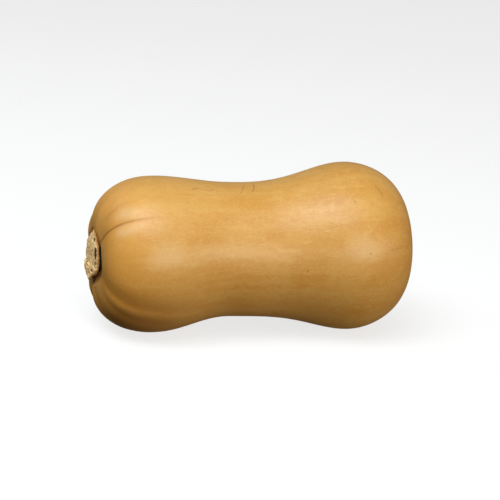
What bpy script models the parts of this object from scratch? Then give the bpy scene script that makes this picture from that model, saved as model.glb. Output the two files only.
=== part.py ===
# Butternut squash lying on its side, with the corky scar of its stem.
#
# Two pieces: squash_fruit, one solid grown as a neck, a waist and a bulb, and stem_stump, the
# corky plate left in the dimple where the stem broke off.
#
# The fruit is described along its growth axis. "along" is the distance from the crest of the
# stem end towards the blossom end, and "up" is across the axis, away from the table. A mesh has
# this axis on its local -Z, with up on its local +X, so that a profile is turned about Z. The
# empty squash_rest then lays it down: growth axis towards +X, table at z = 0, and the origin at
# the middle of the bottom of the whole object's box. All lengths are in metres.

import math

import bpy
from mathutils import Vector

# Outline of the fruit
FRUIT_LENGTH = 0.2076
NECK_RADIUS = 0.0509
NECK_ALONG = 0.0379
WAIST_RADIUS = 0.0441
WAIST_ALONG = 0.0885
BULB_RADIUS = 0.0559
BULB_ALONG = 0.1686
WAIST_TO_BULB_LAG = 1.55        # over 1 keeps the waist slim for longer before the bulb swells
SHOULDER_POWERS = (2.19, 2.07)  # superellipse powers along and across, at the stem end
BLOSSOM_POWERS = (1.85, 2.30)   # the same at the blossom end

# Dimples in the two ends
STEM_CREST_RADIUS = 0.0198
STEM_DIMPLE_DEPTH = 0.0032
STEM_SEAT_RADIUS = 0.0172
BLOSSOM_CREST_RADIUS = 0.0189
BLOSSOM_DIMPLE_DEPTH = 0.0026

# How the fruit grew away from a straight turned shape
ARCH_RISE = 0.0015
ARCH_ALONG = 0.077
ARCH_SPREAD = 0.022
STEM_END_LEAN = 0.045           # along per unit of height, at the stem end only
LEAN_REACH = 0.060

# Folds that run from the stem over the shoulder: (turn in degrees, depth, half width in degrees).
# The turn is counted round the axis from the -Y side, upwards.
SHOULDER_FOLDS = (
    (44, 0.0006, 6),
    (-42, 0.0012, 12),
    (-98, 0.0008, 9),
    (118, 0.0007, 9),
    (172, 0.0009, 10),
    (-146, 0.0008, 9),
)
FOLD_START = 0.003
FOLD_REACH = 0.026

# Stem stump: a five-lobed plate, undercut to its foot, thicker on its lower side
STUMP_RADIUS = 0.0158
STUMP_FOOT_RADIUS = 0.0146
STUMP_WAIST_RADIUS = 0.0149
STUMP_RISE = 0.0016             # its face above the crest of the stem end
STUMP_LOWER_RISE = 0.0018       # what the lower side adds to that
STUMP_EDGE_ROUND = 0.0009
STUMP_LOBES = 5
STUMP_LOBE_DEPTH = 0.035

# Rest and clearance
REST_CUT = 0.0008               # how far the skin is flattened where it rests on the table
SEAT_GAP = 0.0003               # between the stump and the fruit

# Facets
TURN_STEPS = 56
STUMP_TURN_STEPS = 40
SHOULDER_STEPS = 9
WAIST_STEPS = 7
BULB_STEPS = 9
BLOSSOM_STEPS = 10
DIMPLE_STEPS = 4
MERGE_DISTANCE = 0.00001

# Colours, linear
SKIN_COLOUR = (0.66, 0.36, 0.12, 1.0)
SKIN_ROUGHNESS = 0.42
CORK_COLOUR = (0.50, 0.33, 0.17, 1.0)
CORK_ROUGHNESS = 0.85

# The line under the neck and the bulb is laid level, so the axis rises towards the bulb.
REST_TILT = math.asin((BULB_RADIUS - NECK_RADIUS) / (BULB_ALONG - NECK_ALONG))


def smooth_step(share):
    # 0 to 1 with level ends, on half a cosine wave
    share = min(max(share, 0.0), 1.0)
    return 0.5 - 0.5 * math.cos(math.pi * share)


def superellipse_arc(crest, widest, powers, steps):
    # Quarter of a superellipse from the crest of an end to the widest ring, as (along, radius)
    points = []
    for step in range(steps + 1):
        angle = 0.5 * math.pi * step / steps
        inward = math.cos(angle) ** (2.0 / powers[0])
        outward = math.sin(angle) ** (2.0 / powers[1])
        along = widest[0] + (crest[0] - widest[0]) * inward
        radius = crest[1] + (widest[1] - crest[1]) * outward
        points.append((along, radius))
    return points


def cosine_blend(start, end, lag, steps):
    # Radius that passes from one ring to another on half a cosine wave, as (along, radius)
    points = []
    for step in range(1, steps + 1):
        share = step / steps
        along = start[0] + (end[0] - start[0]) * share
        radius = start[1] + (end[1] - start[1]) * smooth_step(share ** lag)
        points.append((along, radius))
    return points


def stem_dimple():
    # Flat seat for the stump, then a wall that rises level into the crest, from the axis outwards
    points = [(STEM_DIMPLE_DEPTH, 0.0), (STEM_DIMPLE_DEPTH, 0.5 * STEM_SEAT_RADIUS)]
    for step in range(DIMPLE_STEPS):
        share = step / DIMPLE_STEPS
        radius = STEM_SEAT_RADIUS + (STEM_CREST_RADIUS - STEM_SEAT_RADIUS) * share
        points.append((STEM_DIMPLE_DEPTH * (1.0 - smooth_step(share)), radius))
    return points


def blossom_dimple():
    # Shallow dish from the crest in to the axis
    points = []
    for step in range(1, DIMPLE_STEPS + 1):
        share = step / DIMPLE_STEPS
        along = FRUIT_LENGTH - BLOSSOM_DIMPLE_DEPTH * smooth_step(share)
        points.append((along, BLOSSOM_CREST_RADIUS * (1.0 - share)))
    return points


def fruit_outline():
    # The whole profile as (along, radius), from the stem dimple round to the blossom dimple
    stem_crest = (0.0, STEM_CREST_RADIUS)
    neck = (NECK_ALONG, NECK_RADIUS)
    waist = (WAIST_ALONG, WAIST_RADIUS)
    bulb = (BULB_ALONG, BULB_RADIUS)
    blossom_crest = (FRUIT_LENGTH, BLOSSOM_CREST_RADIUS)
    outline = stem_dimple()
    outline += superellipse_arc(stem_crest, neck, SHOULDER_POWERS, SHOULDER_STEPS)
    outline += cosine_blend(neck, waist, 1.0, WAIST_STEPS)
    outline += cosine_blend(waist, bulb, WAIST_TO_BULB_LAG, BULB_STEPS)
    blossom_arc = superellipse_arc(blossom_crest, bulb, BLOSSOM_POWERS, BLOSSOM_STEPS)
    outline += blossom_arc[-2::-1]
    outline += blossom_dimple()
    return outline


def stump_outline():
    # Face, rounded edge, undercut side and foot of the stump, as (along, radius)
    face = -STUMP_RISE
    foot = STEM_DIMPLE_DEPTH - SEAT_GAP
    outline = [(face, 0.0), (face, 0.4 * STUMP_RADIUS), (face, 0.75 * STUMP_RADIUS)]
    for step in range(4):
        angle = math.radians(90 - 30 * step)
        along = face + STUMP_EDGE_ROUND * (1.0 - math.sin(angle))
        radius = STUMP_RADIUS - STUMP_EDGE_ROUND * (1.0 - math.cos(angle))
        outline.append((along, radius))
    outline.append((0.5 * foot, STUMP_WAIST_RADIUS))
    outline.append((foot, STUMP_FOOT_RADIUS))
    outline.append((foot, 0.5 * STUMP_FOOT_RADIUS))
    outline.append((foot, 0.0))
    return outline


def turned_object(name, outline, steps, collection):
    # Turn an (along, radius) outline about local Z with a Screw modifier
    mesh = bpy.data.meshes.new(name)
    points = [(radius, 0.0, -along) for along, radius in outline]
    edges = [(index, index + 1) for index in range(len(points) - 1)]
    mesh.from_pydata(points, edges, [])
    turned = bpy.data.objects.new(name, mesh)
    collection.objects.link(turned)
    screw = turned.modifiers.new("Turn", 'SCREW')
    screw.axis = 'Z'
    screw.angle = math.radians(360)
    screw.steps = steps
    screw.render_steps = steps
    screw.use_merge_vertices = True
    screw.merge_threshold = MERGE_DISTANCE
    return turned


def keep_turned_mesh(turned):
    # Replace the profile with the mesh that its modifier makes, so its points can be moved
    graph = bpy.context.evaluated_depsgraph_get()
    finished = bpy.data.meshes.new_from_object(turned.evaluated_get(graph))
    finished.name = turned.name
    turned.modifiers.clear()
    turned.data = finished
    finished.shade_smooth()
    return finished


def turn_of(up, side):
    # Degrees round the axis, counted upwards from the -Y side
    return math.degrees(math.atan2(up, -side))


def turn_apart(first, second):
    # Shortest way between two turns, in degrees
    return abs((first - second + 180.0) % 360.0 - 180.0)


def fold_depth(along, turn):
    # How far the shoulder folds press the skin in at a point
    reach = (along - FOLD_START) / FOLD_REACH
    if reach <= 0.0 or reach >= 1.0:
        return 0.0
    swell = math.sin(math.pi * math.sqrt(reach))
    depth = 0.0
    for centre, deep, half_width in SHOULDER_FOLDS:
        depth += deep * math.exp(-(turn_apart(turn, centre) / half_width) ** 2)
    return depth * swell


def grown(point):
    # Move a point of the straight turned shape to where the fruit grew: arched up at the waist,
    # with the stem end leaning
    along = -point.z
    up = point.x
    lean = STEM_END_LEAN * up * max(1.0 - max(along, 0.0) / LEAN_REACH, 0.0) ** 2
    arch = ARCH_RISE * math.exp(-((along - ARCH_ALONG) / ARCH_SPREAD) ** 2)
    return Vector((up + arch, point.y, -(along + lean)))


def shape_fruit(mesh):
    # Press in the shoulder folds, then grow the shape
    for vertex in mesh.vertices:
        point = vertex.co.copy()
        radius = math.hypot(point.x, point.y)
        if radius > STEM_CREST_RADIUS:
            folded = radius - fold_depth(-point.z, turn_of(point.x, point.y))
            point.x *= folded / radius
            point.y *= folded / radius
        vertex.co = grown(point)


def shape_stump(mesh):
    # Lobe the outline and thicken the lower side of the face, then grow the shape as the fruit
    for vertex in mesh.vertices:
        point = vertex.co.copy()
        lobe = 1.0 + STUMP_LOBE_DEPTH * math.cos(STUMP_LOBES * math.atan2(point.y, point.x))
        point.x *= lobe
        point.y *= lobe
        if point.z > 0.0:
            point.z += STUMP_LOWER_RISE * smooth_step(-point.x / STUMP_RADIUS)
        vertex.co = grown(point)


def plain_material(name, colour, roughness):
    material = bpy.data.materials.new(name)
    material.use_nodes = True
    shader = material.node_tree.nodes["Principled BSDF"]
    shader.inputs["Base Color"].default_value = colour
    shader.inputs["Roughness"].default_value = roughness
    shader.inputs["Metallic"].default_value = 0.0
    return material


def skin_material():
    return plain_material("squash_skin", SKIN_COLOUR, SKIN_ROUGHNESS)


def cork_material():
    return plain_material("stem_cork", CORK_COLOUR, CORK_ROUGHNESS)


def make_fruit(collection):
    fruit = turned_object("squash_fruit", fruit_outline(), TURN_STEPS, collection)
    shape_fruit(keep_turned_mesh(fruit))
    fruit.data.materials.append(skin_material())
    return fruit


def make_stump(collection):
    stump = turned_object("stem_stump", stump_outline(), STUMP_TURN_STEPS, collection)
    shape_stump(keep_turned_mesh(stump))
    stump.data.materials.append(cork_material())
    return stump


def lay_down(pieces, collection):
    # Parent the pieces to an empty that lays the axis down, and put the table at z = 0
    rest = bpy.data.objects.new("squash_rest", None)
    collection.objects.link(rest)
    rest.rotation_euler = (0.0, -(0.5 * math.pi + REST_TILT), 0.0)
    turn = rest.rotation_euler.to_matrix()
    points = [turn @ vertex.co for piece in pieces for vertex in piece.data.vertices]
    low = Vector(min(point[axis] for point in points) for axis in range(3))
    high = Vector(max(point[axis] for point in points) for axis in range(3))
    middle = 0.5 * (low + high)
    rest.location = (-middle.x, -middle.y, -(low.z + REST_CUT))
    for piece in pieces:
        piece.parent = rest


def make_table_cutter(collection):
    # A block whose top is the table
    bpy.ops.mesh.primitive_cube_add(size=1.0, location=(0.0, 0.0, -0.05))
    cutter = bpy.context.active_object
    cutter.name = "table_cutter"
    cutter.scale = (0.4, 0.3, 0.1)
    bpy.ops.object.transform_apply(location=False, rotation=False, scale=True)
    for holder in list(cutter.users_collection):
        holder.objects.unlink(cutter)
    collection.objects.link(cutter)
    cutter.hide_render = True
    cutter.display_type = 'WIRE'
    return cutter


def flatten_rest(fruit, cutter):
    # The small flats under neck and bulb that the fruit rests on
    cut = fruit.modifiers.new("Rest", 'BOOLEAN')
    cut.operation = 'DIFFERENCE'
    cut.solver = 'EXACT'
    cut.object = cutter


def new_collection(name):
    collection = bpy.data.collections.new(name)
    bpy.context.scene.collection.children.link(collection)
    return collection


def main():
    for old in list(bpy.data.objects):
        bpy.data.objects.remove(old, do_unlink=True)
    squash = new_collection("butternut_squash")
    cutters = new_collection("cutters")
    fruit = make_fruit(squash)
    stump = make_stump(squash)
    lay_down((fruit, stump), squash)
    flatten_rest(fruit, make_table_cutter(cutters))


main()
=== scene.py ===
import math
import bpy
import numpy as np
from mathutils import Matrix, Vector


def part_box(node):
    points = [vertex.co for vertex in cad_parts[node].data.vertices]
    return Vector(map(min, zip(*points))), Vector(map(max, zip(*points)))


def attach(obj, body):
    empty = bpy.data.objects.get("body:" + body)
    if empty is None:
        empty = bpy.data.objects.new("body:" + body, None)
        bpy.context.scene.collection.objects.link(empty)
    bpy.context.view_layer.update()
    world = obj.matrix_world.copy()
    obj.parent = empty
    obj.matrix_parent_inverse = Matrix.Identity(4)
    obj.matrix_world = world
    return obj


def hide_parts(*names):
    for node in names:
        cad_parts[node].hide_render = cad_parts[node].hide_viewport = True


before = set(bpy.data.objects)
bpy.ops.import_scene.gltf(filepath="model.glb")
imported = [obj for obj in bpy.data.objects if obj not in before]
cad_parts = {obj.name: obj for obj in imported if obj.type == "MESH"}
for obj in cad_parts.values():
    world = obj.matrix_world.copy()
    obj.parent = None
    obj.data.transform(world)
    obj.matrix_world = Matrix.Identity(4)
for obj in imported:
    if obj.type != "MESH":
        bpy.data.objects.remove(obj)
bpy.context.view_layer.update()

# A butternut squash lying on its side. The fruit is worked out along its growth axis and laid
# down at the end. In the growth frame a point is (along, side, up): along runs from the crest of
# the stem end to the blossom end, side runs away from the viewer, and up away from the table.
# A turn is counted in degrees round the axis from the viewer's side, upwards.

# The fruit's form, in metres.
fruitForm = {
    "length": 0.2076,
    "neckRadius": 0.0509, "neckAlong": 0.0379,
    "waistRadius": 0.0441, "waistAlong": 0.0885,
    "bulbRadius": 0.0559, "bulbAlong": 0.1686,
    "bulbLag": 1.55,                 # over 1 keeps the waist slim for longer
    "shoulderPowers": (2.19, 2.07),  # superellipse powers, along and across
    "blossomPowers": (1.85, 2.30),
    "stemCrest": 0.0198, "stemSeat": 0.0162, "stemDepth": 0.0062,
    "blossomCrest": 0.0189, "blossomDepth": 0.0026,
    "archRise": 0.0015, "archAlong": 0.077, "archSpread": 0.022,
    "lean": 0.045, "leanReach": 0.060,
    "nearDip": 0.0031,               # how far the stem end falls back on the viewer's side
    "farRise": 0.0013,               # and stands forward on the far side
    "dipReach": 0.022, "dipAcross": 0.020,
    "gapTurn": 9, "gapHalf": 44,     # where the seat gapes open round the stump, degrees
    "closedSeat": 0.22,              # share of the seat's depth elsewhere
    "restCut": 0.0008,               # how far the skin is pressed flat where it rests
    "bareRadius": 0.012,             # folds and the gape die away inside this radius
    "firstRow": 0.0004, "lastRow": 0.0002,   # distances of the end rows from their poles
    "rows": 300, "rowCrowding": 1.1,
    "rowCrowds": {0.0: 0.006, 0.018: 0.022},  # places with finer rows, from the stem crest
    "tipCrowd": 0.008,
    "columns": 320, "turnCrowding": 1.6,
    "turnCrowds": {43: 4, 61: 5, -25: 8, -40: 8, 128: 4, 200: 4},  # turns with finer columns, degrees
}


def halfWave(share):
    # 0 to 1 on half a cosine wave, level at both ends
    return 0.5 - 0.5 * np.cos(np.pi * np.clip(share, 0, 1))


def bell(distance, width):
    return np.exp(-(distance / width) ** 2)


def endArc(crest, widest, powers, count):
    # quarter of a superellipse: along goes with cos^(2/p) and radius with sin^(2/q)
    angle = np.linspace(0, math.pi / 2, count)
    inward = np.maximum(np.cos(angle), 0) ** (2 / powers[0])
    outward = np.sin(angle) ** (2 / powers[1])
    along = widest[0] + (crest[0] - widest[0]) * inward
    radius = crest[1] + (widest[1] - crest[1]) * outward
    return np.column_stack((along, radius))


def waveBlend(start, end, lag, count):
    # radius goes from start to end on half a cosine wave
    share = np.linspace(0, 1, count)
    along = start[0] + (end[0] - start[0]) * share
    radius = start[1] + (end[1] - start[1]) * halfWave(share ** lag)
    return np.column_stack((along, radius))


def fruitOutline(form):
    # the turned profile, from the middle of the stem dimple to the middle of the blossom dimple
    share = np.linspace(0, 1, 120)
    floorRadius = np.linspace(0, form["stemSeat"], 60)
    floor = np.column_stack((np.full(60, form["stemDepth"]), floorRadius))
    wallRadius = form["stemSeat"] + (form["stemCrest"] - form["stemSeat"]) * share
    wall = np.column_stack((form["stemDepth"] * (1 - halfWave(share)), wallRadius))
    neck = (form["neckAlong"], form["neckRadius"])
    waist = (form["waistAlong"], form["waistRadius"])
    bulb = (form["bulbAlong"], form["bulbRadius"])
    shoulder = endArc((0, form["stemCrest"]), neck, form["shoulderPowers"], 400)
    slimming = waveBlend(neck, waist, 1.0, 200)
    swelling = waveBlend(waist, bulb, form["bulbLag"], 300)
    tip = (form["length"], form["blossomCrest"])
    blossom = endArc(tip, bulb, form["blossomPowers"], 400)[::-1]
    dishAlong = form["length"] - form["blossomDepth"] * halfWave(share)
    dish = np.column_stack((dishAlong, form["blossomCrest"] * (1 - share)))
    parts = (wall, shoulder, slimming, swelling, blossom, dish)
    return np.vstack((floor, *(part[1:] for part in parts)))


def arcLengths(outline):
    steps = np.hypot(*np.diff(outline, axis=0).T)
    return np.concatenate(([0], np.cumsum(steps)))


def crowded(low, high, count, crowds, weight):
    # count values from low to high, closer together near each crowd's centre: the inverse of the
    # running sum of a density that is 1 plus a bell of the crowd's width at every centre
    fine = np.linspace(low, high, 4000)
    density = np.ones_like(fine)
    for centre, width in crowds.items():
        density += weight * bell(fine - centre, width)
    total = np.concatenate(([0], np.cumsum(0.5 * (density[1:] + density[:-1]))))
    return np.interp(np.linspace(0, total[-1], count), total, fine)


def hashed(whole, seed):
    # a repeatable number from 0 to 1 for each point of a whole-number lattice
    mixed = whole[..., 0] * 73856093 ^ whole[..., 1] * 19349663 ^ whole[..., 2] * 83492791
    mixed = (mixed ^ (seed * 40503 + 12345)) & 0xFFFFFFFF
    mixed = (mixed ^ (mixed >> 15)) * 2246822519 & 0xFFFFFFFF
    mixed = (mixed ^ (mixed >> 13)) * 3266489917 & 0xFFFFFFFF
    return ((mixed ^ (mixed >> 16)) & 0xFFFFFF) / float(0xFFFFFF)


def latticeNoise(points, cell, seed):
    # smooth noise from -1 to 1: lattice values blended over each cell
    place = points / cell
    whole = np.floor(place).astype(np.int64)
    part = place - whole
    part = part * part * (3 - 2 * part)
    value = np.zeros(points.shape[:-1])
    for corner in np.ndindex(2, 2, 2):
        corner = np.array(corner)
        weight = np.where(corner == 1, part, 1 - part).prod(axis=-1)
        value += weight * hashed(whole + corner, seed)
    return 2 * value - 1


def layeredNoise(points, cell, seed, layers):
    value = np.zeros(points.shape[:-1])
    for layer in range(layers):
        value += latticeNoise(points, cell / 2 ** layer, seed + 17 * layer) / 2 ** layer
    return value / (2 - 2 ** (1 - layers))


# The growth frame is laid down where the CAD fruit lies.
fruitLow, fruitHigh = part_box("squash_fruit")
size = (fruitHigh.y - fruitLow.y) / 2 / fruitForm["bulbRadius"]
tilt = math.asin((fruitForm["bulbRadius"] - fruitForm["neckRadius"])
                 / (fruitForm["bulbAlong"] - fruitForm["neckAlong"]))
bulbHeight = fruitForm["bulbRadius"] * math.cos(tilt) - fruitForm["restCut"]
axisStart = np.array([0.0, (fruitLow.y + fruitHigh.y) / 2,
                      size * (bulbHeight - fruitForm["bulbAlong"] * math.sin(tilt))])


def grown(points):
    # lean and dip the stem end and arch the waist, as the fruit grew
    along, side, up = np.moveaxis(points, -1, 0)
    stemward = np.maximum(along, 0)
    fade = np.clip(1 - stemward / fruitForm["leanReach"], 0, 1) ** 2
    dipFade = np.clip(1 - stemward / fruitForm["dipReach"], 0, 1) ** 2
    dip = fruitForm["nearDip"] * halfWave(-side / fruitForm["dipAcross"])
    dip = dip - fruitForm["farRise"] * halfWave(side / fruitForm["dipAcross"])
    arch = fruitForm["archRise"] * bell(along - fruitForm["archAlong"], fruitForm["archSpread"])
    leaned = along + fruitForm["lean"] * up * fade + dip * dipFade
    return np.stack((leaned, side, up + arch), axis=-1)


def laid(points):
    # turn the growth frame by the rest tilt, and move it to the CAD fruit's place
    along, side, up = np.moveaxis(grown(points) * size, -1, 0)
    x = along * math.cos(tilt) - up * math.sin(tilt)
    z = along * math.sin(tilt) + up * math.cos(tilt)
    return np.stack((x, side, z), axis=-1) + axisStart


def farthest():
    # where the turned shape reaches along X, so that the CAD box's end can be matched
    outline = fruitOutline(fruitForm)
    angle = np.radians(np.arange(0, 360, 2))[None, :]
    along = np.repeat(outline[:, :1], angle.shape[1], axis=1)
    radius = outline[:, 1:]
    turned = np.stack((along, -radius * np.cos(angle), radius * np.sin(angle)), axis=-1)
    return laid(turned)[..., 0].max()


axisStart[0] = fruitHigh.x - farthest()

# Folds pressed into the skin, which run from the stem over the shoulder, as (turn, drift, start, end,
# depth, above, below). A fold lies at its turn where it leaves the stem, and drifts by so many degrees
# for each metre of skin. It starts and ends at a distance along the skin from the stem crest. Its
# flanks are bells, with one half width above and one below.
folds = [
    (43.0, 0, -0.004, 0.056, 0.00036, 0.0007, 0.0007),
    (43.0, 0, -0.004, 0.054, 0.00062, 0.0052, 0.0042),
    (61.3, 0, 0.013, 0.040, 0.00012, 0.0008, 0.0008),
    (61.3, 0, 0.002, 0.050, 0.00022, 0.0040, 0.0040),
    (-18.5, -200, -0.004, 0.082, 0.00140, 0.0088, 0.0046),
    (-33.0, -220, -0.004, 0.066, 0.00062, 0.0050, 0.0050),
    (-70.0, -60, -0.004, 0.062, 0.00080, 0.0050, 0.0050),
    (-101.0, 40, -0.004, 0.058, 0.00070, 0.0046, 0.0050),
    (91.0, 0, -0.004, 0.046, 0.00040, 0.0040, 0.0040),
    (127.0, 60, -0.004, 0.066, 0.00090, 0.0050, 0.0062),
    (127.0, 60, -0.004, 0.052, 0.00030, 0.0008, 0.0008),
    (163.0, -40, -0.004, 0.074, 0.00095, 0.0056, 0.0046),
    (198.0, 50, -0.004, 0.060, 0.00080, 0.0040, 0.0056),
    (198.0, 50, -0.004, 0.048, 0.00028, 0.0008, 0.0008),
    (229.0, -50, -0.004, 0.068, 0.00085, 0.0052, 0.0042),
]

skinRelief = {
    "foldPeak": 0.55, "foldFullness": 0.8,   # powers: where along a fold it is deepest, and how full
    "creaseWidth": 0.0015,                   # a fold narrower than this is a crease
    "creaseDepth": 0.00036,                  # a crease this deep has the whole painted crease shade
    "foldShadeDepth": 0.0012,                   # folds this deep have the whole painted shade of a hollow
    "lump": 0.00016, "lumpCell": 0.034,      # slow unevenness
    "rib": 0.00007, "ribCell": 0.010,        # faint ribs along the fruit
    "ribStretch": 0.16, "ribRadius": 0.045,
    "dimple": 0.000018, "dimpleCell": 0.004,
    "calmRadius": 0.010, "calmReach": 0.025,  # no unevenness inside this radius, all of it past the reach
    "soft": 0.00030, "sink": 0.02,           # how softly the skin meets the table
    "blossomPlate": 0.0042,                  # radius of the dry blossom scar
    "plateLobes": 0.12, "plateRipple": 0.05,
    "plateRise": 0.00055, "plateRim": 0.0009, "plateSink": 0.0008,
    "scarReach": 1.15, "scarEdge": 0.3,      # where the scar's colour ends, in radii of the scar
    "stemNear": 0.022,                       # how far the dry streaks reach from the stem
    "gapEdge": 0.0002, "gapReach": 0.0011,   # the painted shade of the gap begins and is full, inside the crest
    "gapLeast": 0.14,                        # share of the gap's painted shade where the seat is closed
}


def foldPress(arc, radius, turn):
    # depth of all folds, and how much of it is sharp crease, which gets painted shade, over the (arc,
    # turn) grid
    depth = np.zeros(np.broadcast(arc, turn).shape)
    creaseShade = np.zeros_like(depth)
    for place, drift, start, end, deep, above, below in folds:
        reach = np.clip((arc - start) / (end - start), 0, 1)
        swell = np.sin(np.pi * reach ** skinRelief["foldPeak"]) ** skinRelief["foldFullness"]
        centre = place + drift * arc
        apart = np.radians((turn - centre + 180) % 360 - 180) * radius
        half = np.where(apart > 0, above, below)
        part = swell * bell(apart, half)
        depth += deep * part
        if above < skinRelief["creaseWidth"]:
            creaseShade = np.maximum(creaseShade, part * deep / skinRelief["creaseDepth"])
    return depth, creaseShade


def gridFaces(rows, columns):
    # quads between neighbouring rows, closed round the columns
    row, column = np.meshgrid(np.arange(rows - 1), np.arange(columns), indexing="ij")
    nextColumn = (column + 1) % columns
    corners = (row * columns + column, row * columns + nextColumn,
               (row + 1) * columns + nextColumn, (row + 1) * columns + column)
    return np.stack(corners, axis=-1).reshape(-1, 4)


def closedSurface(name, grid, firstPole, lastPole, uv=None, attributes=None):
    # a mesh from a grid of points with a pole at each end. uv gives u at the columns' edges, and v at
    # the first pole, every row and the last pole
    rows, columns = grid.shape[:2]
    points = np.vstack((grid.reshape(-1, 3), firstPole, lastPole))
    quads = gridFaces(rows, columns)
    column = np.arange(columns)
    nextColumn = (column + 1) % columns
    firstCap = np.column_stack((np.full(columns, rows * columns), nextColumn, column))
    base = (rows - 1) * columns
    lastCap = np.column_stack((np.full(columns, rows * columns + 1), base + column, base + nextColumn))
    loops = np.concatenate((quads.ravel(), firstCap.ravel(), lastCap.ravel()))
    sizes = np.concatenate((np.full(len(quads), 4), np.full(2 * columns, 3)))
    starts = np.concatenate(([0], np.cumsum(sizes)[:-1]))
    mesh = bpy.data.meshes.new(name)
    mesh.vertices.add(len(points))
    mesh.vertices.foreach_set("co", points.astype(np.float32).ravel())
    mesh.loops.add(len(loops))
    mesh.loops.foreach_set("vertex_index", loops.astype(np.int32))
    mesh.polygons.add(len(sizes))
    mesh.polygons.foreach_set("loop_start", starts.astype(np.int32))
    mesh.update(calc_edges=True)
    if uv is not None:
        across, down = uv
        quadRow = np.repeat(np.arange(rows - 1), columns)
        quadColumn = np.tile(column, rows - 1)
        u = across[np.column_stack((quadColumn, quadColumn + 1, quadColumn + 1, quadColumn))]
        v = down[np.column_stack((quadRow, quadRow, quadRow + 1, quadRow + 1)) + 1]
        middle = 0.5 * (across[column] + across[column + 1])
        capU = np.column_stack((middle, across[column + 1], across[column]))
        capV = np.column_stack((np.full(columns, down[0]), np.full((columns, 2), down[1])))
        tailU = np.column_stack((middle, across[column], across[column + 1]))
        tailV = np.column_stack((np.full(columns, down[-1]), np.full((columns, 2), down[-2])))
        pairs = ((u, v), (capU, capV), (tailU, tailV))
        flat = np.concatenate([np.stack(pair, -1).reshape(-1, 2) for pair in pairs])
        layer = mesh.uv_layers.new(name="OFBake")
        layer.data.foreach_set("uv", flat.astype(np.float32).ravel())
    for label, values in (attributes or {}).items():
        kind, slot = ("FLOAT_VECTOR", "vector") if values.ndim == 2 else ("FLOAT", "value")
        field = mesh.attributes.new(label, kind, "POINT")
        field.data.foreach_set(slot, values.astype(np.float32).ravel())
    mesh.shade_smooth()
    mesh.validate()
    piece = bpy.data.objects.new(name, mesh)
    bpy.context.scene.collection.objects.link(piece)
    return piece


# distance along the skin of the turned outline, zero at the stem crest
denseOutline = fruitOutline(fruitForm)
denseArc = arcLengths(denseOutline)
fromCrest = np.abs(denseOutline[:, 0]) + np.abs(denseOutline[:, 1] - fruitForm["stemCrest"])
denseArc = denseArc - denseArc[int(np.argmin(fromCrest))]
skinLength = denseArc[-1] - denseArc[0]
placeRadius = 0.05                   # radius of the tube on which the skin's colours are laid out


def spreadOver(shape, *parts):
    # vectors over a whole grid, from parts that may be one row or one column
    return np.stack([np.broadcast_to(part, shape) for part in parts], axis=-1)


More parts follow.
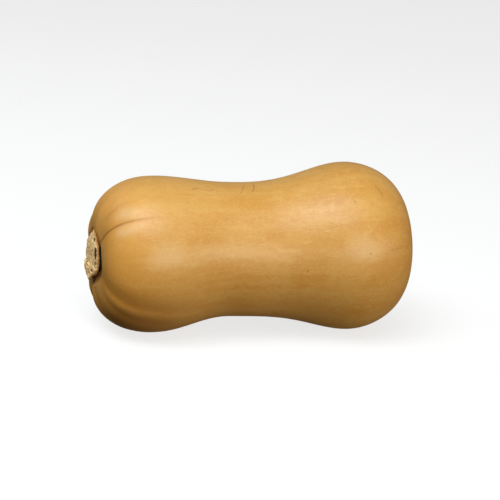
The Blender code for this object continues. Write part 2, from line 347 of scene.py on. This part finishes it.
def makeFruit():
    # The turned outline on a grid of rows along the skin and columns round it. Every point is
    # moved along its normal by the folds, slow lumps, faint ribs and small dimples, then laid
    # down and pressed softly flat where it meets the table.
    form = fruitForm
    relief = skinRelief
    rowCrowds = {**form["rowCrowds"], denseArc[-1]: form["tipCrowd"]}
    arc = crowded(denseArc[0] + form["firstRow"], denseArc[-1] - form["lastRow"], form["rows"],
                  rowCrowds, form["rowCrowding"])
    turnEdges = crowded(-90, 270, form["columns"] + 1, form["turnCrowds"], form["turnCrowding"])
    turn = turnEdges[:-1][None, :]
    angle = np.radians(turn)
    along = np.interp(arc, denseArc, denseOutline[:, 0])
    radius = np.interp(arc, denseArc, denseOutline[:, 1])
    slopeAlong = np.gradient(along, arc)
    slopeRadius = np.gradient(radius, arc)
    steep = np.hypot(slopeAlong, slopeRadius)
    outAlong, outRadius = -slopeRadius / steep, slopeAlong / steep
    depth, creaseShade = foldPress(arc[:, None], np.maximum(radius, form["bareRadius"])[:, None], turn)
    # the seat is deep only where it gapes
    gape = bell((turn - form["gapTurn"] + 180) % 360 - 180, form["gapHalf"]) ** 2
    gape = gape * halfWave(radius[:, None] / form["bareRadius"])
    seatShare = form["closedSeat"] + (1 - form["closedSeat"]) * gape
    along = along[:, None] * np.where(arc[:, None] < 0, seatShare, 1)
    spot = np.stack((along, -radius[:, None] * np.cos(angle), radius[:, None] * np.sin(angle)), axis=-1)
    tube = spreadOver(depth.shape, arc[:, None] * relief["ribStretch"],
                      relief["ribRadius"] * np.cos(angle), relief["ribRadius"] * np.sin(angle))
    calm = halfWave((radius - relief["calmRadius"]) / relief["calmReach"])[:, None]
    swell = relief["lump"] * layeredNoise(spot, relief["lumpCell"], 3, 2)
    swell = swell + relief["rib"] * layeredNoise(tube, relief["ribCell"], 11, 2)
    swell = swell + relief["dimple"] * latticeNoise(spot, relief["dimpleCell"], 29)
    # dry scar of the blossom: a raised ring round a sunken middle
    fromTip = np.where(arc > 0.5 * arc[-1], radius, 1.0)[:, None]
    lobes = relief["plateLobes"] * np.cos(5 * angle) + relief["plateRipple"] * np.cos(11 * angle + 1)
    plate = relief["blossomPlate"] * (1 + lobes)
    ring = relief["plateRise"] * bell(fromTip - plate, relief["plateRim"])
    ring = ring - relief["plateSink"] * halfWave((plate - fromTip) / plate)
    push = swell * calm - depth + ring
    outwards = spreadOver(depth.shape, outAlong[:, None],
                          -outRadius[:, None] * np.cos(angle), outRadius[:, None] * np.sin(angle))
    points = laid(spot + push[..., None] * outwards)
    # a soft maximum of the height and zero presses the skin flat on the table
    height, softness = points[..., 2], relief["soft"]
    points[..., 2] = 0.5 * (height + np.sqrt(height ** 2 + softness ** 2)) - relief["sink"] * softness
    firstPole = laid(np.array([[denseOutline[0, 0] * form["closedSeat"], 0, 0]]))
    lastPole = laid(np.array([[denseOutline[-1, 0] - relief["plateSink"], 0, 0]]))
    # attributes that the skin's material reads
    ends = np.zeros(2)
    skinPlace = spreadOver(depth.shape, placeRadius * np.cos(angle), placeRadius * np.sin(angle),
                           arc[:, None]).reshape(-1, 3)
    skinPlace = np.vstack((skinPlace, [[0, 0, arc[0]], [0, 0, arc[-1]]]))
    # painted shade in the folds and creases
    foldShade = np.clip(depth / relief["foldShadeDepth"], 0, 1)
    stemNear = np.broadcast_to(halfWave(1 - arc[:, None] / relief["stemNear"]), depth.shape)
    # painted shade in the gap round the stump, deepest where the seat gapes
    gapShade = halfWave((-relief["gapEdge"] - arc[:, None]) / relief["gapReach"])
    gapShade = gapShade * (relief["gapLeast"] + (1 - relief["gapLeast"]) * gape)
    plateMask = halfWave((plate * relief["scarReach"] - fromTip) / (relief["scarEdge"] * plate))
    attributes = {
        "skinPlace": skinPlace,
        "creaseShade": np.concatenate((creaseShade.ravel(), ends)),
        "foldShade": np.concatenate((foldShade.ravel(), ends)),
        "stemNear": np.concatenate((stemNear.ravel(), [1, 0])),
        "gapShade": np.concatenate((gapShade.ravel(), [gapShade[0].mean(), 0])),
        "blossomScar": np.concatenate((plateMask.ravel(), [0, 1])),
    }
    down = (np.concatenate(([denseArc[0]], arc, [denseArc[-1]])) - denseArc[0]) / skinLength
    uv = ((turnEdges + 90) / 360, down)
    return closedSurface("squashSkin", points, firstPole, lastPole, uv, attributes)


# The corky stump of the stem. Its outline is a circle with lobes and notches, each a bell round a
# turn: (turn, half width in degrees, how far it stands out).
stumpForm = {
    "radius": 0.0157,
    "lobes": [(90, 17, 0.0030), (118, 14, 0.0006), (-57, 19, -0.0030), (-97, 12, -0.0004),
              (8, 42, -0.0006), (178, 20, 0.0005), (-140, 14, -0.0008)],
    "rise": 0.0014,                  # its face above the stem crest
    "topFall": 0.0013,               # how far the face falls towards its upper point
    "topFrom": 0.006, "topReach": 0.012,
    "ledge": 0.0014,                 # what the broken lower part adds to the rise
    "ledgeEdge": -0.0042,            # where the lower part begins, on the up axis
    "ledgeSlope": 0.0013,            # how far its edge reaches
    "ledgeLoss": 0.80,               # share of it lost on the viewer's side, from ledgeFrom onwards
    "ledgeFrom": -0.002, "ledgeReach": 0.011,
    "ledgeCork": 0.8,                # how much rougher its cork is
    "skirt": 0.0007,                 # height of the bare side wall above the undercut
    "undercut": 0.0022, "undercutReach": 0.0012,
    "rimRound": 0.00025, "rimReach": 0.0006,
    "rimFall": 0.0006, "rimFrom": 0.88,  # how far the face falls at its rim, from this share outwards
    "foot": 0.0062,                  # how deep its foot goes below the crest
    "ragged": 0.035, "raggedCell": 0.30,  # roughness of the outline, as a share of the radius
    "cork": 0.00040, "corkCell": 0.0032,
    "grit": 0.00034, "gritCell": 0.0012,
    "wander": 0.0014, "wanderCell": 0.004,
    "furrow": 0.00030, "furrowCell": 0.0016, "furrowStretch": 0.35,
    "pitReach": 1.35, "pitEdge": 0.8, "pitRagged": 0.2,  # where a pit's wall ends, in half widths
    "pitDepth": 0.0008,              # a pit this deep has the whole painted shade of a hole
    "faceRings": 96, "sideRings": 34, "footRings": 8, "columns": 360,
}

# pits in the face: (away from the middle towards the viewer, up, half width, half height, depth)
stumpPits = [
    (0.0102, 0.0048, 0.0018, 0.0034, 0.0038),
    (0.0104, -0.0024, 0.0013, 0.0022, 0.0008),
    (0.0048, 0.0126, 0.0013, 0.0012, 0.0012),
    (-0.0008, -0.0124, 0.0010, 0.0009, 0.0018),
    (0.0060, -0.0075, 0.0014, 0.0010, 0.0007),
    (-0.0050, 0.0050, 0.0012, 0.0016, 0.0008),
    (-0.0075, -0.0060, 0.0016, 0.0011, 0.0010),
    (0.0010, 0.0015, 0.0016, 0.0014, 0.0010),
]


def makeStump():
    # The broken face is a polar height field: its rise, a thicker broken lower part, cork grains of
    # layered noise, and pits. The side falls from its rim, first as a bare wall and then undercut
    # to the foot, with fibres running down it.
    form = stumpForm
    turn = np.linspace(0, 360, form["columns"], endpoint=False)[None, :]
    angle = np.radians(turn)
    circle = np.stack((np.cos(angle), np.sin(angle), 0 * angle), axis=-1)
    ragged = layeredNoise(circle, form["raggedCell"], 5, 4)
    outline = form["radius"] * (1 + form["ragged"] * ragged)
    for centre, half, reach in form["lobes"]:
        outline = outline + reach * bell((turn - centre + 180) % 360 - 180, half)
    share = np.linspace(0.006, 1, form["faceRings"])[:, None] ** 0.85
    radius = outline * share
    toViewer = radius * np.cos(angle)
    up = radius * np.sin(angle)
    flat = np.stack((toViewer, up, 0 * up), axis=-1)
    cork = form["cork"] * layeredNoise(flat, form["corkCell"], 7, 4)
    cork = cork + form["grit"] * layeredNoise(flat, form["gritCell"], 23, 2)
    wander = form["wander"] * latticeNoise(flat, form["wanderCell"], 31)
    broken = halfWave((form["ledgeEdge"] + wander - up) / form["ledgeSlope"])
    lost = form["ledgeLoss"] * halfWave((toViewer - form["ledgeFrom"]) / form["ledgeReach"])
    broken = broken * (1 - lost)
    height = form["rise"] + form["ledge"] * broken + cork * (1 + form["ledgeCork"] * broken)
    height = height - form["topFall"] * halfWave((up - form["topFrom"]) / form["topReach"])
    height = height - form["rimFall"] * halfWave((share - form["rimFrom"]) / (1 - form["rimFrom"]))
    pit = np.zeros_like(height)
    for across, high, halfWidth, halfHeight, deep in stumpPits:
        apart = np.sqrt(((toViewer - across) / halfWidth) ** 2 + ((up - high) / halfHeight) ** 2)
        inside = form["pitReach"] - apart + form["pitRagged"] * ragged
        pit = np.maximum(pit, deep * halfWave(inside / form["pitEdge"]))
    face = np.stack((pit - height, -toViewer, up), axis=-1)
    # the side wall, from the rim of the face down to the foot
    down = np.linspace(0, 1, form["sideRings"] + 1)[1:, None]
    rimAlong = face[-1, :, 0][None]
    sideAlong = rimAlong + (form["foot"] - rimAlong) * down
    below = sideAlong - rimAlong
    inward = form["undercut"] * halfWave((below - form["skirt"]) / form["undercutReach"])
    inward = inward + form["rimRound"] * halfWave(below / form["rimReach"])
    sideRadius = outline - inward
    sidePoint = np.stack((sideAlong, -sideRadius * np.cos(angle), sideRadius * np.sin(angle)), axis=-1)
    stretched = sidePoint * np.array([form["furrowStretch"], 1, 1])
    furrow = form["furrow"] * layeredNoise(stretched, form["furrowCell"], 41, 3)
    outwards = np.stack((0 * angle, -np.cos(angle), np.sin(angle)), axis=-1)
    sidePoint = sidePoint + furrow[..., None] * outwards
    # the underside, hidden in the seat
    footRadius = sideRadius[-1][None] * np.linspace(1, 0.08, form["footRings"])[1:, None]
    foot = spreadOver(footRadius.shape, form["foot"], -footRadius * np.cos(angle),
                      footRadius * np.sin(angle))
    grid = np.concatenate((face, sidePoint, foot), axis=0)
    # attributes that the cork's material reads
    lower = (len(grid) - form["faceRings"], form["columns"])
    rimBand = np.broadcast_to(halfWave((share - 0.90) / 0.08), face.shape[:2])
    # painted shade in the undercut and on the hidden foot
    gapShade = halfWave((below - form["skirt"] + 0.5 * form["rimReach"]) / form["rimReach"])
    gapShade = np.concatenate((gapShade, np.ones(foot.shape[:2])))
    wallLedge = np.repeat(broken[-1][None], lower[0], axis=0)
    # painted shade in the pits
    pitShade = (pit / form["pitDepth"]).clip(0, 1)
    ends = np.zeros(2)
    attributes = {
        "pit": np.concatenate((pitShade.ravel(), np.zeros(lower).ravel(), ends)),
        "side": np.concatenate((rimBand.ravel(), np.ones(lower).ravel(), [0, 1])),
        "ledge": np.concatenate((broken.ravel(), wallLedge.ravel(), ends)),
        "gapShade": np.concatenate((np.zeros(face.shape[:2]).ravel(), gapShade.ravel(), [0, 1])),
    }
    firstPole = laid(np.array([[face[0, :, 0].mean(), 0, 0]]))
    lastPole = laid(np.array([[form["foot"], 0, 0]]))
    return closedSurface("stemStump", laid(grid), firstPole, lastPole, None, attributes)


class Nodes:
    # a thin helper: makes nodes, sets their values and links what is a socket
    def __init__(self, name, world=None):
        self.material = world or bpy.data.materials.new(name)
        self.material.use_nodes = True
        self.tree = self.material.node_tree
        self.shader = self.tree.nodes["Background" if world else "Principled BSDF"]

    def put(self, socket, value):
        if isinstance(value, bpy.types.NodeSocket):
            self.tree.links.new(value, socket)
        else:
            socket.default_value = value

    def add(self, kind, values=None, **settings):
        node = self.tree.nodes.new(kind)
        for label, value in settings.items():
            setattr(node, label, value)
        for key, value in (values or {}).items():
            self.put(node.inputs[key], value)
        return node

    def attribute(self, label):
        return self.add("ShaderNodeAttribute", attribute_name=label)

    def scaled(self, vector, factors):
        return self.vector("MULTIPLY", vector, factors)

    def vector(self, operation, first, second):
        return self.add("ShaderNodeVectorMath", {0: first, 1: second}, operation=operation).outputs[0]

    def resized(self, vector, size):
        values = {0: vector, "Scale": size}
        return self.add("ShaderNodeVectorMath", values, operation="SCALE").outputs[0]

    def noise(self, vector, scale, detail=3.0, roughness=0.5, distortion=0.0):
        values = {"Vector": vector, "Scale": scale, "Detail": detail, "Roughness": roughness,
                  "Distortion": distortion}
        return self.add("ShaderNodeTexNoise", values).outputs["Fac"]

    def spread(self, value, low, high, outLow=0.0, outHigh=1.0, smooth=True):
        node = self.add("ShaderNodeMapRange", {"Value": value, "From Min": low, "From Max": high,
                                               "To Min": outLow, "To Max": outHigh})
        node.interpolation_type = "SMOOTHSTEP" if smooth else "LINEAR"
        return node.outputs["Result"]

    def math(self, operation, first, second=0.0):
        return self.add("ShaderNodeMath", {0: first, 1: second}, operation=operation).outputs[0]

    def scaledBy(self, value, factor):
        return self.math("MULTIPLY", value, factor)

    def mix(self, factor, first, second, blend="MIX"):
        node = self.add("ShaderNodeMix", data_type="RGBA", blend_type=blend)
        self.put(node.inputs[0], factor)
        self.put(node.inputs[6], first)
        self.put(node.inputs[7], second)
        return node.outputs[2]

    def bump(self, height, strength, distance, normal=None):
        values = {"Height": height, "Strength": strength, "Distance": distance}
        if normal is not None:
            values["Normal"] = normal
        return self.add("ShaderNodeBump", values).outputs["Normal"]


def colour(red, green, blue):
    # a colour given as screen values from 0 to 255, made linear
    screen = np.array([red, green, blue]) / 255
    linear = np.where(screen <= 0.04045, screen / 12.92, ((screen + 0.055) / 1.055) ** 2.4)
    return (*linear.tolist(), 1.0)


skinFinish = {
    "tan": colour(201, 151, 76),
    "honey": colour(194, 140, 62),
    "cream": colour(210, 167, 96),
    "amber": colour(187, 121, 43),
    "shoulder": colour(220, 154, 66),
    # painted sheen and highlights, and pale waxy marks
    "waxyAndHighlight": colour(214, 182, 130),
    "dust": colour(198, 156, 100),
    # painted shade for the creases and the underside near the stem end
    "brown": colour(128, 82, 34),
    "mark": colour(140, 80, 22),
    # painted shade for the gap round the stump
    "dark": colour(46, 26, 8),
    "scar": colour(150, 112, 66),
    "roughness": (0.31, 0.42),       # smoothest and roughest, by the mottling
    "ior": 1.45,
    "dustShare": 0.75, "foldShadeShare": 0.30, "creaseShadeShare": 0.60, "scarShare": 0.85,
    "shoulderReach": (0.004, 0.060), "shoulderShare": 0.75,
    "ripeReach": (0.06, 0.17), "ripeShare": (0.15, 0.42),  # from the neck to the bulb
    "freckle": 0.55,                 # strength of the freckles
    "pebbleBump": (0.16, 0.0004), "grainBump": (0.10, 0.0003), "markBump": (0.5, 0.0002),
    "wander": 0.0012, "wanderScale": 700.0,
}

# Patterns of the skin: (stretch, scale, detail, roughness, distortion). A stretch under 1 draws the
# pattern out along the fruit, and a pattern with none lies in plain space.
skinPatterns = {
    "cloud": (None, 30, 4, 0.55, 0.4),
    "band": (0.06, 130, 3, 0.5, 0.0),
    "streak": (0.16, 420, 4, 0.6, 0.0),
    "mottle": (0.55, 260, 5, 0.65, 0.0),
    "grain": (0.7, 900, 3, 0.7, 0.0),
    "blotch": (0.55, 110, 6, 0.70, 0.3),
    "ray": (0.10, 640, 3, 0.6, 0.0),
    "pebble": (None, 520, 3, 0.55, 0.0),
}
# colours laid over a honey base: (pattern, value with none of it, value with all, strength, colour)
skinLayers = [
    ("cloud", 0.34, 0.66, 1.00, "tan"),
    ("band", 0.42, 0.70, 0.35, "cream"),
    ("streak", 0.50, 0.76, 0.38, "cream"),
    ("mottle", 0.52, 0.70, 0.60, "honey"),
    ("mottle", 0.46, 0.32, 0.42, "cream"),
    ("grain", 0.53, 0.68, 0.56, "cream"),
    ("grain", 0.45, 0.30, 0.44, "amber"),
]
# fine scratches: (places they run through, as (turn, distance along the skin); width; strength)
scratches = [
    ([(71.5, 0.0798), (74.0, 0.0828), (73.0, 0.0873), (71.5, 0.0907), (74.0, 0.0935)], 0.00032, 0.60),
    ([(88.5, 0.1164), (79.0, 0.1142), (70.5, 0.1115)], 0.00030, 0.42),
    ([(89.0, 0.1230), (80.0, 0.1218), (73.0, 0.1196)], 0.00030, 0.60),
    ([(60.5, 0.1990), (54.5, 0.2021), (51.5, 0.2024)], 0.00030, 0.60),
    ([(12.0, 0.2040), (12.8, 0.2130)], 0.00050, 0.20),
    ([(150.0, 0.0900), (146.0, 0.1010), (149.0, 0.1080)], 0.00030, 0.35),
    ([(205.0, 0.1480), (214.0, 0.1500)], 0.00030, 0.50),
]
# small dark freckles: (turn, distance along the skin, radius)
freckles = [
    (23.5, 0.1911, 0.0006), (25.5, 0.2033, 0.0005), (35.0, 0.2182, 0.0007), (10.5, 0.1888, 0.0006),
    (-2.0, 0.1488, 0.0008), (64.5, 0.1065, 0.0006), (46.0, 0.1821, 0.0009), (121.0, 0.1400, 0.0008),
]
# patches: (turn, distance along the skin, half width across, half width along, strength)
# painted shade on the underside near the stem end
paintedShadePatches = [
    (-50.0, 0.0440, 0.0240, 0.0310, 0.50),
    (-60.0, 0.0360, 0.0150, 0.0190, 0.55),
]
# the first three are painted sheen where the front lamps reflect on the bulges, the two at turns 51.5 and
# 36.5 are painted highlights on the shoulder lobes, and the rest are pale waxy marks
waxyAndHighlightPatches = [
    (15.0, 0.0604, 0.0080, 0.0120, 0.25),
    (15.0, 0.0980, 0.0060, 0.0240, 0.20),
    (13.5, 0.1862, 0.0090, 0.0140, 0.30),
    (51.5, 0.0335, 0.0062, 0.0085, 0.42),
    (36.5, 0.0315, 0.0058, 0.0095, 0.42),
    (196.0, 0.1300, 0.0080, 0.0160, 0.40),
    (27.5, 0.1622, 0.0007, 0.0028, 0.50),
    (63.5, 0.1842, 0.0007, 0.0012, 0.60),
    (16.0, 0.0599, 0.0006, 0.0006, 0.80),
]


def onSkin(turn, arc):
    # the value that the attribute skinPlace has at a place on the skin
    angle = math.radians(turn)
    return (placeRadius * math.cos(angle), placeRadius * math.sin(angle), arc)


def nearLine(n, place, first, second, width):
    # 1 on the straight line between two places and 0 past its width: the place's distance to its
    # nearest point on the line
    start = np.array(onSkin(*first))
    run = np.array(onSkin(*second)) - start
    fromStart = n.vector("SUBTRACT", place, tuple(start))
    values = {0: fromStart, 1: tuple(run / (run @ run))}
    dot = n.add("ShaderNodeVectorMath", values, operation="DOT_PRODUCT")
    share = n.add("ShaderNodeClamp", {"Value": dot.outputs["Value"]}).outputs[0]
    reached = n.resized(tuple(run), share)
    apart = n.add("ShaderNodeVectorMath", {0: fromStart, 1: reached}, operation="DISTANCE")
    return n.spread(apart.outputs["Value"], 0.3 * width, width, 1.0, 0.0)


def nearSpot(n, place, turn, arc, across, along):
    # 1 at a place on the skin, falling to 0 at an ellipse round it
    fromSpot = n.vector("SUBTRACT", place, onSkin(turn, arc))
    scaled = n.scaled(fromSpot, (1 / across, 1 / across, 1 / along))
    apart = n.add("ShaderNodeVectorMath", {0: scaled}, operation="LENGTH").outputs["Value"]
    return n.spread(apart, 0.25, 1.25, 1.0, 0.0)


def marksOn(n, place):
    # scratches and freckles, with a little wander
    finish = skinFinish
    values = {"Vector": place, "Scale": finish["wanderScale"], "Detail": 2.0}
    wobble = n.add("ShaderNodeTexNoise", values).outputs["Color"]
    wobble = n.resized(n.vector("SUBTRACT", wobble, (0.5, 0.5, 0.5)), finish["wander"])
    rough = n.vector("ADD", place, wobble)
    marks = 0.0
    for points, width, strength in scratches:
        for first, second in zip(points, points[1:]):
            line = n.scaledBy(nearLine(n, rough, first, second, 2 * width), strength)
            marks = n.math("MAXIMUM", marks, line)
    for turn, arc, radius in freckles:
        freckle = n.scaledBy(nearSpot(n, rough, turn, arc, radius, radius), finish["freckle"])
        marks = n.math("MAXIMUM", marks, freckle)
    return marks


def skinMaterial():
    n = Nodes("squashSkin")
    finish = skinFinish
    place = n.attribute("skinPlace").outputs["Vector"]
    spot = n.add("ShaderNodeTexCoord").outputs["Object"]
    pattern = {}
    for label, (stretch, *settings) in skinPatterns.items():
        where = n.scaled(place, (1, 1, stretch)) if stretch else spot
        pattern[label] = n.noise(where, *settings)
    # slow clouds, then bands and streaks along the fruit, mottling and fine grain
    base = finish["honey"]
    for label, low, high, strength, name in skinLayers:
        base = n.mix(n.scaledBy(n.spread(pattern[label], low, high), strength), base, finish[name])
    # a warmer shoulder, and riper amber blotches, mostly on the bulb
    length = n.add("ShaderNodeSeparateXYZ", {0: place}).outputs["Z"]
    warm = n.spread(length, *finish["shoulderReach"], finish["shoulderShare"], 0.0)
    base = n.mix(warm, base, finish["shoulder"])
    bulbward = n.spread(length, *finish["ripeReach"], *finish["ripeShare"])
    ripe = n.math("MULTIPLY", n.spread(pattern["blotch"], 0.52, 0.70), bulbward)
    base = n.mix(ripe, base, finish["amber"])
    # painted shade: a darker brown underside towards the stem end
    for turn, arc, across, along, strength in paintedShadePatches:
        patch = n.scaledBy(nearSpot(n, place, turn, arc, across, along), strength)
        base = n.mix(patch, base, finish["brown"])
    # pale patches, broken up by the mottling: painted sheen and highlights where the lamps reflect on the
    # bulges and the shoulder lobes, and a few pale waxy marks
    speck = n.spread(pattern["mottle"], 0.36, 0.62, 0.55, 1.0)
    for turn, arc, across, along, strength in waxyAndHighlightPatches:
        patch = n.scaledBy(nearSpot(n, place, turn, arc, across, along), strength)
        base = n.mix(n.math("MULTIPLY", patch, speck), base, finish["waxyAndHighlight"])
    # dry streaks round the stem, then painted shade: in the folds and creases, and in the gap round the
    # stump
    dry = n.math("MULTIPLY", n.attribute("stemNear").outputs["Fac"],
                 n.spread(pattern["ray"], 0.42, 0.66))
    base = n.mix(n.scaledBy(dry, finish["dustShare"]), base, finish["dust"])
    foldShade = n.scaledBy(n.attribute("foldShade").outputs["Fac"], finish["foldShadeShare"])
    base = n.mix(foldShade, base, finish["amber"])
    creaseShade = n.scaledBy(n.attribute("creaseShade").outputs["Fac"], finish["creaseShadeShare"])
    base = n.mix(creaseShade, base, finish["brown"])
    # painted shade in the gap round the stump
    base = n.mix(n.attribute("gapShade").outputs["Fac"], base, finish["dark"])
    marks = marksOn(n, place)
    base = n.mix(marks, base, finish["mark"])
    scar = n.scaledBy(n.attribute("blossomScar").outputs["Fac"], finish["scarShare"])
    base = n.mix(scar, base, finish["scar"])
    n.put(n.shader.inputs["Base Color"], base)
    n.shader.inputs["Metallic"].default_value = 0.0
    n.shader.inputs["IOR"].default_value = finish["ior"]
    smoothest, roughest = finish["roughness"]
    roughness = n.spread(pattern["mottle"], 0.3, 0.7, smoothest, roughest, False)
    n.put(n.shader.inputs["Roughness"], roughness)
    normal = n.bump(pattern["pebble"], *finish["pebbleBump"])
    normal = n.bump(pattern["grain"], *finish["grainBump"], normal)
    normal = n.bump(n.math("SUBTRACT", 1.0, marks), *finish["markBump"], normal)
    n.put(n.shader.inputs["Normal"], normal)
    return n.material


corkFinish = {
    "shade": colour(206, 153, 90),
    "beige": colour(253, 220, 160),
    "orange": colour(232, 176, 104),
    "side": colour(186, 120, 46),
    # painted shade for the undercut and the pits
    "holeShade": colour(40, 22, 8),
    "roughness": 0.85,
}


def corkMaterial():
    n = Nodes("stemCork")
    spot = n.add("ShaderNodeTexCoord").outputs["Object"]
    grain = n.noise(spot, 900, 5, 0.65)
    blotch = n.noise(spot, 300, 3, 0.6)
    base = n.mix(n.spread(grain, 0.34, 0.58), corkFinish["shade"], corkFinish["beige"])
    ledge = n.spread(n.attribute("ledge").outputs["Fac"], 0, 1, 0.35, 0.85)
    tint = n.math("MULTIPLY", n.spread(blotch, 0.46, 0.60), ledge)
    base = n.mix(tint, base, corkFinish["orange"])
    base = n.mix(n.scaledBy(n.attribute("side").outputs["Fac"], 0.85), base, corkFinish["side"])
    # painted shade in the undercut and in the pits
    base = n.mix(n.attribute("gapShade").outputs["Fac"], base, corkFinish["holeShade"])
    base = n.mix(n.attribute("pit").outputs["Fac"], base, corkFinish["holeShade"])
    n.put(n.shader.inputs["Base Color"], base)
    n.shader.inputs["Roughness"].default_value = corkFinish["roughness"]
    n.put(n.shader.inputs["Normal"], n.bump(grain, 0.5, 0.0006))
    return n.material


# make the pieces
skin = makeFruit()
skin.data.materials.append(skinMaterial())
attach(skin, "root")
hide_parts("squash_fruit")
print("skin", len(skin.data.polygons), "faces")

stump = makeStump()
stump.data.materials.append(corkMaterial())
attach(stump, "root")
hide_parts("stem_stump")
print("stump", len(stump.data.polygons), "faces")

studio = {
    "azimuth": -13.66, "elevation": 16.0, "roll": -3.34, "distance": 1.0, "lens": 109.25,
    "middle": 0.104,                 # place along the axis that the camera looks at
    "drop": 0.0003,                  # how far below that place it aims
}


def directionTo(azimuth, elevation):
    # azimuth 0 is the viewer's side and grows to the right; elevation is above the table
    a, e = math.radians(azimuth), math.radians(elevation)
    return Vector((math.sin(a) * math.cos(e), -math.cos(a) * math.cos(e), math.sin(e)))


def makeCamera():
    azimuth = math.radians(studio["azimuth"])
    roll = math.radians(studio["roll"])
    back = directionTo(studio["azimuth"], studio["elevation"])
    level = Vector((math.cos(azimuth), math.sin(azimuth), 0))
    upright = back.cross(level)
    right = level * math.cos(roll) - upright * math.sin(roll)
    upward = level * math.sin(roll) + upright * math.cos(roll)
    axis = Vector((math.cos(tilt), 0, math.sin(tilt)))
    middle = Vector(axisStart) + axis * studio["middle"] * size
    middle = middle - upward * studio["drop"]
    data = bpy.data.cameras.new("camera")
    data.lens = studio["lens"]
    data.sensor_width = 36
    data.clip_start = 0.01
    camera = bpy.data.objects.new("camera", data)
    bpy.context.scene.collection.objects.link(camera)
    turned = Matrix((right, upward, back)).transposed().to_4x4()
    camera.matrix_world = Matrix.Translation(middle + back * studio["distance"]) @ turned
    bpy.context.scene.camera = camera
    return middle


# Softboxes: (azimuth, elevation, distance, width, height, power, tint). The high ones are cool and
# the low ones warm.
cool = (0.90, 0.965, 1.0)
warm = (1.0, 0.91, 0.80)
lamps = {
    "keyTop": (-45, 75, 1.5, 0.60, 0.60, 5.03, cool),
    "keyWide": (-42, 63, 1.5, 1.10, 0.70, 1.02, cool),
    "keyLeft": (-57, 57, 1.5, 0.60, 0.60, 8.00, cool),
    "keyFront": (-15, 52, 1.5, 0.60, 0.60, 4.76, cool),
    "keyRight": (22, 62, 1.5, 0.80, 0.60, 2.38, cool),
    "stemFill": (-100, 32, 1.5, 0.80, 0.80, 3.96, cool),
    "backFill": (-140, 40, 1.5, 1.00, 0.80, 1.40, cool),
    "frontFill": (10, 27, 1.5, 0.60, 0.40, 2.25, warm),
    "rightFill": (40, 30, 1.5, 0.60, 0.40, 0.68, warm),
    "stripLeft": (-5, 6.5, 1.5, 0.50, 0.30, 3.10, warm),
    "stripMiddle": (14, 6.5, 1.5, 0.50, 0.30, 2.75, warm),
    "stripRight": (33, 6.5, 1.5, 0.50, 0.30, 2.35, warm),
    "stripFar": (55, 8, 1.5, 0.50, 0.30, 1.70, warm),
}
skyLight = {
    "above": 0.175, "belowLeft": 0.0, "belowRight": 0.25,
    "tintAbove": (1, 1, 1, 1), "tintBelow": (1.0, 0.72, 0.36, 1),
}
tableTop = {
    "tone": (0.25, 0.25, 0.248, 1), "roughness": 0.9,
    "glow": (1, 1, 0.995, 1), "glowStrength": 0.74,
    "reach": 4.0,
}


def makeFloor():
    # A plain pale table top, lit by the lamps and evened out by a faint glow of its own. It throws
    # no light back at the squash.
    reach = tableTop["reach"]
    mesh = bpy.data.meshes.new("tableTop")
    corners = [(-reach, -reach, 0), (reach, -reach, 0), (reach, reach, 0), (-reach, reach, 0)]
    mesh.from_pydata(corners, [], [(0, 1, 2, 3)])
    floor = bpy.data.objects.new("tableTop", mesh)
    bpy.context.scene.collection.objects.link(floor)
    n = Nodes("tableTop")
    n.shader.inputs["Base Color"].default_value = tableTop["tone"]
    n.shader.inputs["Roughness"].default_value = tableTop["roughness"]
    n.shader.inputs["Emission Color"].default_value = tableTop["glow"]
    n.shader.inputs["Emission Strength"].default_value = tableTop["glowStrength"]
    mesh.materials.append(n.material)
    floor.visible_diffuse = False
    floor.visible_glossy = False


def makeWorld():
    # a dim even sky; below the table's level it is warm, dark on the left and brighter to the right
    world = bpy.data.worlds.new("studio")
    n = Nodes("sky", world)
    split = n.add("ShaderNodeSeparateXYZ", {0: n.add("ShaderNodeTexCoord").outputs["Generated"]})
    rightward, upward = split.outputs["X"], split.outputs["Z"]
    below = n.spread(rightward, -0.5, 0.7, skyLight["belowLeft"], skyLight["belowRight"], False)
    n.put(n.shader.inputs["Strength"], n.spread(upward, -0.02, 0.02, below, skyLight["above"], False))
    tint = n.mix(n.spread(upward, -0.02, 0.02), skyLight["tintBelow"], skyLight["tintAbove"])
    n.put(n.shader.inputs["Color"], tint)
    bpy.context.scene.world = world


def softbox(name, direction, distance, width, height, power, tint):
    data = bpy.data.lights.new(name, "AREA")
    data.shape = "RECTANGLE"
    data.size = width
    data.size_y = height
    data.energy = power
    data.color = tint
    lamp = bpy.data.objects.new(name, data)
    bpy.context.scene.collection.objects.link(lamp)
    lamp.location = lookAt + direction * distance
    lamp.rotation_euler = direction.to_track_quat("Z", "Y").to_euler()
    lamp.visible_camera = False


lookAt = makeCamera()
makeFloor()
makeWorld()
for lampName, (azimuth, elevation, *shape) in lamps.items():
    softbox(lampName, directionTo(azimuth, elevation), *shape)
bpy.context.scene.view_settings.view_transform = "Standard"
print("studio set")
